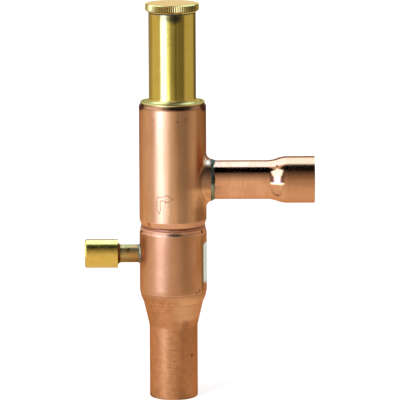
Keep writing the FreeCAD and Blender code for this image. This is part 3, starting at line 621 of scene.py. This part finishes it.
def label_finish():
    """Pale paper with one faint line across it."""
    f = Finish("label_paper", (0.74, 0.78, 0.66), 0.5, metallic=0.0)
    fibres = f.noise(f.place, 1800, 4.0, 0.6)
    f.paint(f.mix(f.ramp(fibres, 0.35, 0.65), (0.76, 0.80, 0.68), (0.70, 0.75, 0.62)))
    line = f.within(f.z, LABEL_LINE_Z, LABEL_LINE_Z + LABEL_LINE_HEIGHT, 0.1 * MM)
    f.lay((0.42, 0.47, 0.44), line, 0.35)
    f.set("Normal", f.bump(fibres, 0.006 * MM))
    return f.material


def wrapped(points, radius):
    """Points of (length round from azimuth 0, height) laid on an upright cylinder."""
    laid = []
    for along, height in points:
        angle = along / HOUSING_R
        laid.append(Vector((radius * math.sin(angle), -radius * math.cos(angle), height)))
    return laid


def mesh_object(name, bm, material):
    """A smooth-shaded object of the scene, made from a built mesh."""
    mesh = bpy.data.meshes.new(name)
    bm.to_mesh(mesh)
    bm.free()
    made = bpy.data.objects.new(name, mesh)
    bpy.context.scene.collection.objects.link(made)
    mesh.materials.append(material)
    for face in mesh.polygons:
        face.use_smooth = True
    return made


def label():
    """A sheet with rounded corners, wrapped round the right and the back of the lower body."""
    columns = 96
    rows = 12
    bm = bmesh.new()
    grid = []
    start = LABEL_START * HOUSING_R
    for index in range(columns + 1):
        along = LABEL_LENGTH * index / columns
        near_end = min(along, LABEL_LENGTH - along)
        dip = 0.0
        if near_end < LABEL_CORNER:
            inset = LABEL_CORNER - near_end
            dip = LABEL_CORNER - math.sqrt(LABEL_CORNER ** 2 - inset ** 2)
        low = LABEL_FOOT_Z + dip
        high = LABEL_FOOT_Z + LABEL_HEIGHT - dip
        points = [(start + along, low + (high - low) * row / rows) for row in range(rows + 1)]
        grid.append([bm.verts.new(point) for point in wrapped(points, LABEL_R)])
    for first, second in zip(grid, grid[1:]):
        for row in range(rows):
            bm.faces.new((first[row], second[row], second[row + 1], first[row + 1]))
    made = mesh_object("label", bm, label_finish())
    thickness = made.modifiers.new("thickness", "SOLIDIFY")
    thickness.thickness = LABEL_THICKNESS
    thickness.offset = -1
    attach(made, "housing")


label()


def arrow_finish():
    """Dark copper in patches for the stamped line."""
    f = Finish("arrow_copper", (0.40, 0.20, 0.10), 0.4)
    arrow_patches = f.noise(f.place, 1500, 3.0, 0.6)
    f.paint(f.mix(f.ramp(arrow_patches, 0.35, 0.65), (0.42, 0.22, 0.11), (0.22, 0.10, 0.045)))
    f.set("Normal", f.bump(arrow_patches, 0.02 * MM))
    return f.material


def flow_arrow():
    """A bent arrow in low relief: up from the inlet, then round to the outlet."""
    # Azimuth in degrees and height in millimetres
    corners = [
        (-27.7, 87.4), (-27.7, 92.9), (-27.0, 93.5), (-13.8, 93.8), (-11.9, 94.7), (0.3, 92.8),
        (-11.9, 90.9), (-13.8, 92.0), (-21.2, 91.9), (-21.9, 91.2), (-21.9, 87.5), (-23.9, 86.0),
    ]
    steps = 6
    sunk_r = HOUSING_R - 0.24 * MM
    places = []
    for start, end in zip(corners, corners[1:] + corners[:1]):
        for step in range(steps):
            share = step / steps
            angle = math.radians(start[0] + (end[0] - start[0]) * share)
            height = (start[1] + (end[1] - start[1]) * share) * MM
            places.append((sunk_r * math.sin(angle), -sunk_r * math.cos(angle), height, 1.0))
    data = bpy.data.curves.new("flow_arrow", "CURVE")
    data.dimensions = "3D"
    data.bevel_depth = 0.3 * MM
    data.bevel_resolution = 5
    spline = data.splines.new("POLY")
    spline.points.add(len(places) - 1)
    for point, place in zip(spline.points, places):
        point.co = place
    spline.use_cyclic_u = True
    data.materials.append(arrow_finish())
    made = bpy.data.objects.new("flow_arrow", data)
    bpy.context.scene.collection.objects.link(made)
    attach(made, "housing")


flow_arrow()


# Braze and the pieces that change length

def skin(name, rings, material, around=False):
    """A surface through rings of points, closed on its first ring or else by a face at each end."""
    bm = bmesh.new()
    laid = [[bm.verts.new(point) for point in ring] for ring in rings]
    following = laid[1:] + laid[:1] if around else laid[1:]
    for first, second in zip(laid, following):
        for index in range(len(first)):
            after = (index + 1) % len(first)
            bm.faces.new((first[index], first[after], second[after], second[index]))
    if not around:
        bm.faces.new(laid[0])
        bm.faces.new(laid[-1])
    bmesh.ops.recalc_face_normals(bm, faces=bm.faces)
    return mesh_object(name, bm, material)


def ripple(angle, turn):
    """A wandering value from about -1 to 1 that is the same again after a full turn."""
    waves = ((3, 0.45, 0.8), (5, 0.3, 2.1), (8, 0.2, 4.0), (13, 0.14, 1.3))
    return sum(size * math.sin(count * angle + phase + turn) for count, size, phase in waves)


def outlet_braze():
    """A wandering fillet on the outlet tube, against the end of the collar."""
    sides = 120
    reach_mean = 1.75 * MM
    reach_swing = 0.55 * MM
    swell_swing = 0.18
    clearance = 0.02 * MM
    start = COLLAR_END + 0.03 * MM
    # The share of the reach along the tube and the height over it in millimetres
    outline = (
        (0.0, 0.0), (0.0, 0.55), (0.12, 0.68), (0.3, 0.66),
        (0.5, 0.5), (0.72, 0.3), (0.9, 0.12), (1.0, 0.0),
    )
    rings = []
    for along, out in outline:
        ring = []
        for side in range(sides):
            angle = math.tau * side / sides
            reach = reach_mean + reach_swing * ripple(angle, 0.0)
            swell = 1.0 + swell_swing * ripple(angle, 2.0)
            radius = OUTLET_TUBE_R + clearance + out * swell * MM
            x = start + along * reach
            ring.append((x, radius * math.sin(angle), OUTLET_AXIS_Z + radius * math.cos(angle)))
        rings.append(ring)
    made = skin("outlet_braze", rings, finishes["braze"], around=True)
    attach(made, "housing")
    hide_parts("outlet_braze_ring")


def port_braze():
    """A wandering fillet round the port's neck, on the body's curved side."""
    sides = 72
    swell_swing = 0.2
    # The distance out from the body and the height over the neck, both in millimetres
    outline = ((-0.1, 0.02), (0.02, 0.42), (0.12, 0.4), (0.3, 0.22), (0.55, 0.1), (0.85, 0.02))
    rings = []
    for out, width in outline:
        ring = []
        for side in range(sides):
            angle = math.tau * side / sides
            swell = 1.0 + swell_swing * ripple(angle, 1.0)
            radius = PORT_NECK_R + width * swell * MM
            y = radius * math.sin(angle)
            wall = math.sqrt(HOUSING_R ** 2 - y ** 2)
            ring.append((-wall - out * swell * MM, y, PORT_AXIS_Z + radius * math.cos(angle)))
        rings.append(ring)
    made = skin("port_braze", rings, finishes["braze"], around=True)
    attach(made, "housing")
    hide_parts("gauge_port_braze_ring")


def coil(name, mean_r, wire_r, low, high, closed, active, first, last, sides=16, steps=32):
    """Part of a compression spring along +Z with closed and ground ends, from one turn to another."""
    pitch = (high - low - 4 * closed * wire_r) / active
    count = round((last - first) * steps)
    rings = []
    for index in range(count + 1):
        turn = first + (last - first) * index / count
        opened = min(max(turn - closed, 0), active)
        height = low + (turn - opened) * 2 * wire_r + opened * pitch
        angle = math.tau * turn
        ring = []
        for side in range(sides):
            round_wire = math.tau * (side + 0.5) / sides
            radius = mean_r + wire_r * math.cos(round_wire)
            z = min(max(height + wire_r * math.sin(round_wire), low), high)
            ring.append(Vector((radius * math.cos(angle), radius * math.sin(angle), z)))
        rings.append(ring)
    return skin(name, rings, finishes["spring_steel"])


def main_spring():
    """Two halves that meet at the middle of the spring."""
    low = 95.55 * MM
    high = 146.95 * MM
    mean_r = 6.6 * MM
    wire_r = 1.1 * MM
    closed = 1.0
    active = 6.5
    turns = active + 2 * closed
    sizes = (mean_r, wire_r, low, high, closed, active)
    lower = coil("main_spring_lower_half", *sizes, 0.0, turns / 2)
    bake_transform(lower)
    upper = coil("main_spring_upper_half", *sizes, turns / 2, turns)
    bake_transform(upper)
    for half in (lower, upper):
        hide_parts("main_spring")


def core_spring():
    """A coil along -X, with one end on the core's body and the other on its pin."""
    start = 29.25 * MM
    end = 33.95 * MM
    mean_r = 0.93 * MM
    wire_r = 0.15 * MM
    closed = 1.0
    active = 3.0
    turns = active + 2 * closed
    sizes = (mean_r, wire_r, start, end, closed, active)
    made = coil("core_spring_coil", *sizes, 0.0, turns, sides=12, steps=24)
    turn = Matrix.Rotation(-math.pi / 2, 4, "Y")
    made.data.transform(Matrix.Translation((0, 0, PORT_AXIS_Z)) @ turn)
    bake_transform(made)
    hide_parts("core_spring")


def bellows():
    """A thin sheet with round convolutions between two plain cuffs."""
    low = 87.5 * MM
    high = 126.95 * MM
    cuff = 1.6 * MM
    root_r = 8.6 * MM
    crest_r = 11.0 * MM
    half_wall = 0.12 * MM
    convolutions = 12
    flatness = 2.2
    steps = 20
    sides = 80
    middle_line = [(root_r, low), (root_r, low + cuff / 2)]
    span = high - low - 2 * cuff
    for index in range(convolutions * steps + 1):
        share = index / (convolutions * steps)
        swing = math.cos(math.tau * share * convolutions)
        wave = math.tanh(flatness * swing) / math.tanh(flatness)
        radius = root_r + (crest_r - root_r) * (0.5 - 0.5 * wave)
        middle_line.append((radius, low + cuff + span * share))
    middle_line += [(root_r, high - cuff / 2), (root_r, high)]
    outside = []
    inside = []
    for index, (radius, height) in enumerate(middle_line):
        before = middle_line[max(index - 1, 0)]
        after = middle_line[min(index + 1, len(middle_line) - 1)]
        run = Vector((after[0] - before[0], after[1] - before[1])).normalized()
        out_r = run.y * half_wall
        out_z = -run.x * half_wall
        outside.append((radius + out_r, height + out_z))
        inside.append((radius - out_r, height - out_z))
    rings = []
    for radius, height in outside + inside[::-1]:
        ring = []
        for side in range(sides):
            angle = math.tau * side / sides
            ring.append((radius * math.cos(angle), radius * math.sin(angle), height))
        rings.append(ring)
    made = skin("bellows_sheet", rings, finishes["bellows_metal"], around=True)
    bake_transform(made)
    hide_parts("bellows")


outlet_braze()
port_braze()
main_spring()
core_spring()
bellows()


# Studio

FLOOR_R = 4.0
TABLE_R = 0.92
LAMP_AIM = (0, 0, 0.08)


def studio_world():
    """White to the camera, grey to matt surfaces, and soft cards round the object to metal."""
    world = bpy.data.worlds.new("studio")
    world.use_nodes = True
    bpy.context.scene.world = world
    w = Nodes(world.node_tree)
    background = world.node_tree.nodes["Background"]
    direction = w.add("TexCoord", {}).outputs["Generated"]
    parts = w.add("SeparateXYZ", {0: direction}).outputs
    x, y, z = parts[0], parts[1], parts[2]
    azimuth = w.times(w.turn(x, y), DEGREES_IN_RADIAN)
    elevation = w.times(w.math("ARCSINE", z), DEGREES_IN_RADIAN)

    def with_cards(under, cards):
        for sides, heights, color in cards:
            place = w.times(w.within(azimuth, *sides), w.within(elevation, *heights))
            under = w.mix(place, under, color)
        return under

    # Each card has its azimuth and its elevation, as low edge, high edge and softness in degrees
    all_round = (-200, 200, 1)
    low = (-30, -1, 3)
    room = [
        (all_round, (-100, -14, 3), (0.90, 0.90, 0.90)),
        ((120, 200, 6), (17, 42, 2), (0.10, 0.09, 0.08)),
        ((-200, -120, 6), (17, 42, 2), (0.10, 0.09, 0.08)),
        ((120, 200, 6), (-1, 16, 3), (1.0, 0.99, 0.97)),
        ((-200, -120, 6), (-1, 16, 3), (1.0, 0.99, 0.97)),
        ((125, 200, 4), low, (0.20, 0.19, 0.16)),
        ((-200, -152, 6), low, (0.24, 0.23, 0.21)),
        ((-152, -112, 10), low, (0.50, 0.49, 0.47)),
        ((-112, -64, 8), low, (0.80, 0.79, 0.78)),
        ((-12, 27, 8), low, (0.12, 0.135, 0.14)),
        ((27, 63, 4), low, (0.19, 0.19, 0.19)),
        ((62, 125, 4), low, (0.64, 0.63, 0.62)),
    ]
    # The sleeve reflects what is above this elevation, and the two bodies reflect what is below it
    parting = -8.65
    strip_top = -6.4
    softbox = [
        ((-62, -27, 2), (parting, 18, 0.1), (0.80, 1.05, 3.0)),
        ((-64, -4, 6), (-30, parting, 0.1), (1.0, 1.3, 1.7)),
        ((-58, -25, 1.5), (parting, strip_top, 0.1), (1.9, 2.8, 16.0)),
        ((-57, -32, 3), (strip_top, 26, 0.3), (4.2, 5.8, 9.0)),
        ((-54, -34, 4), (-18, parting, 0.1), (4.4, 6.4, 9.4)),
        ((-40, -14, 5), (-20, -9.5, 0.3), (4.4, 6.2, 9.0)),
        ((-110, -27, 6), (26, 54, 5), (2.4, 3.4, 5.2)),
    ]

    level = with_cards((0.75, 0.75, 0.75), room)
    in_front = w.times(w.within(azimuth, -60, 70, 8), w.ramp(elevation, -6.9, -6.1))
    facing = w.ramp(w.math("ABSOLUTE", azimuth), 8, 18, 1.0, 0.3)
    bright = w.times(w.ramp(elevation, -3, 55.5, 0.89, 0.0, "LINEAR"), facing)
    fading = w.add("CombineXYZ", {0: bright, 1: bright, 2: bright}).outputs[0]
    level = with_cards(w.mix(in_front, level, fading), softbox)

    # A panel overhead, by the slope of the direction across and behind
    up = w.math("MAXIMUM", z, 0.001)
    across = w.math("ABSOLUTE", w.math("DIVIDE", x, up))
    behind = w.math("DIVIDE", y, up)
    panel = w.times(
        w.ramp(across, 1.0, 1.2, 1.0, 0.0),
        w.within(behind, 0.02, 1.5, 0.06),
        w.ramp(z, 0.02, 0.06),
    )
    level = w.mix(panel, level, (1.6, 2.9, 5.3))

    path = w.add("LightPath", {}).outputs
    seen = w.math("MAXIMUM", path["Is Camera Ray"], path["Is Transmission Ray"])
    color = w.mix(seen, (0.6, 0.6, 0.6), (1, 1, 1))
    color = w.mix(path["Is Glossy Ray"], color, level)
    w.feed(background.inputs["Color"], color)
    background.inputs["Strength"].default_value = 1.0
    world.cycles.sampling_method = "NONE"


def disc(name, radius, z, sides, material):
    """A flat disc that is part of the studio."""
    bm = bmesh.new()
    bmesh.ops.create_circle(bm, cap_ends=True, radius=radius, segments=sides)
    bmesh.ops.translate(bm, verts=bm.verts, vec=(0, 0, z))
    made = mesh_object(name, bm, material)
    return made


def floor():
    """A matt floor that glows for the camera only, less near the object to keep its shadow."""
    near = 0.25
    far = 1.2
    near_glow = 0.66
    material = bpy.data.materials.new("floor")
    material.use_nodes = True
    n = Nodes(material.node_tree)
    shader = material.node_tree.nodes["Principled BSDF"]
    shader.inputs["Base Color"].default_value = (0.42, 0.42, 0.42, 1)
    shader.inputs["Roughness"].default_value = 1.0
    shader.inputs["Specular IOR Level"].default_value = 0.0
    shader.inputs["Emission Color"].default_value = (1, 1, 1, 1)
    path = n.add("LightPath", {}).outputs
    seen = n.math("MAXIMUM", path["Is Camera Ray"], path["Is Transmission Ray"])
    place = n.add("TexCoord", {}).outputs["Object"]
    away = n.add("VectorMath", {0: place}, operation="LENGTH").outputs["Value"]
    n.feed(shader.inputs["Emission Strength"], n.times(seen, n.ramp(away, near, far, near_glow, 1.0)))
    made = disc("floor", FLOOR_R, 0.0, 128, material)
    made.visible_glossy = False


def table():
    """What metal on the object sees of the table, which fades away from it."""
    material = bpy.data.materials.new("table")
    material.use_nodes = True
    n = Nodes(material.node_tree)
    place = n.add("TexCoord", {}).outputs["Object"]
    away = n.add("VectorMath", {0: place}, operation="LENGTH").outputs["Value"]
    parts = n.add("SeparateXYZ", {0: place}).outputs
    x, y = parts[0], parts[1]
    azimuth = n.times(n.turn(x, y), DEGREES_IN_RADIAN)
    far = n.ramp(away, 0.46, 0.74)
    near = n.ramp(away, 0.16, 0.28)
    ahead = n.mix(far, n.mix(near, (0.40, 0.38, 0.36), (0.54, 0.53, 0.52)), (0.26, 0.26, 0.26))
    right = n.mix(far, n.mix(near, (0.58, 0.56, 0.54), (0.90, 0.88, 0.86)), (0.50, 0.49, 0.48))
    left = n.mix(n.ramp(away, 0.06, 0.12), (0.44, 0.42, 0.40), (0.96, 0.93, 0.90))
    color = (0.80, 0.79, 0.78)
    for low, high, lit in ((11, 58, ahead), (58, 125, right), (-130, -58, left)):
        color = n.mix(n.within(azimuth, low, high, 8), color, lit)

    # Pale strips that the outlet tube and the gauge port cap reflect
    not_behind = n.ramp(y, 0.3, 0.5, 1.0, 0.0)
    under_tube = n.times(n.within(x, 0.014, 0.085, 0.010), not_behind)
    under_cap = n.times(n.within(x, -0.06, -0.02, 0.010), not_behind)
    color = n.mix(n.math("MAXIMUM", under_tube, under_cap), color, (0.90, 0.89, 0.88))

    # Clear at the rim, and earlier towards the softbox
    edge = n.ramp(away, 0.60, 0.90)
    to_softbox = n.times(n.ramp(away, 0.16, 0.60), n.within(azimuth, -78, -8, 5))
    clearness = n.times(n.math("MAXIMUM", edge, to_softbox), n.math("SUBTRACT", 1.0, under_tube))
    glow = n.add("Emission", {"Color": color, "Strength": 1.0}).outputs[0]
    clear = n.add("BsdfTransparent", {}).outputs[0]
    both = n.add("MixShader", {0: clearness, 1: glow, 2: clear}).outputs[0]
    n.feed(material.node_tree.nodes["Material Output"].inputs["Surface"], both)
    made = disc("table", TABLE_R, -0.5 * MM, 96, material)
    made.visible_camera = False
    made.visible_diffuse = False
    made.visible_transmission = False
    made.visible_shadow = False


def lamp(name, place, size, power):
    """A soft square lamp that isn't seen in reflections."""
    data = bpy.data.lights.new(name, "AREA")
    data.size = size
    data.energy = power
    made = bpy.data.objects.new(name, data)
    bpy.context.scene.collection.objects.link(made)
    made.location = place
    made.rotation_euler = (Vector(LAMP_AIM) - Vector(place)).to_track_quat("-Z", "Y").to_euler()
    made.visible_glossy = False
    made.visible_camera = False


def camera():
    """A long lens in front of the object, a little above it and not quite upright."""
    target = Vector((0.01215, 0, 0.08978))
    elevation = math.radians(10.04)
    distance = 1.8
    roll = math.radians(-0.24)
    data = bpy.data.cameras.new("camera")
    data.sensor_width = 36
    data.lens = 360.5
    data.clip_start = 0.1
    data.clip_end = 50
    made = bpy.data.objects.new("camera", data)
    bpy.context.scene.collection.objects.link(made)
    offset = Vector((0, -math.cos(elevation), math.sin(elevation))) * distance
    turn = (-offset).to_track_quat("-Z", "Y").to_matrix().to_4x4()
    made.matrix_world = Matrix.Translation(target + offset) @ turn @ Matrix.Rotation(roll, 4, "Z")
    bpy.context.scene.camera = made


studio_world()
floor()
table()
lamp("key", place=(-1.6, -1.6, 1.9), size=1.6, power=55)
lamp("fill", place=(1.8, -1.2, 1.6), size=1.8, power=28)
camera()
bpy.context.scene.view_settings.view_transform = "Standard"
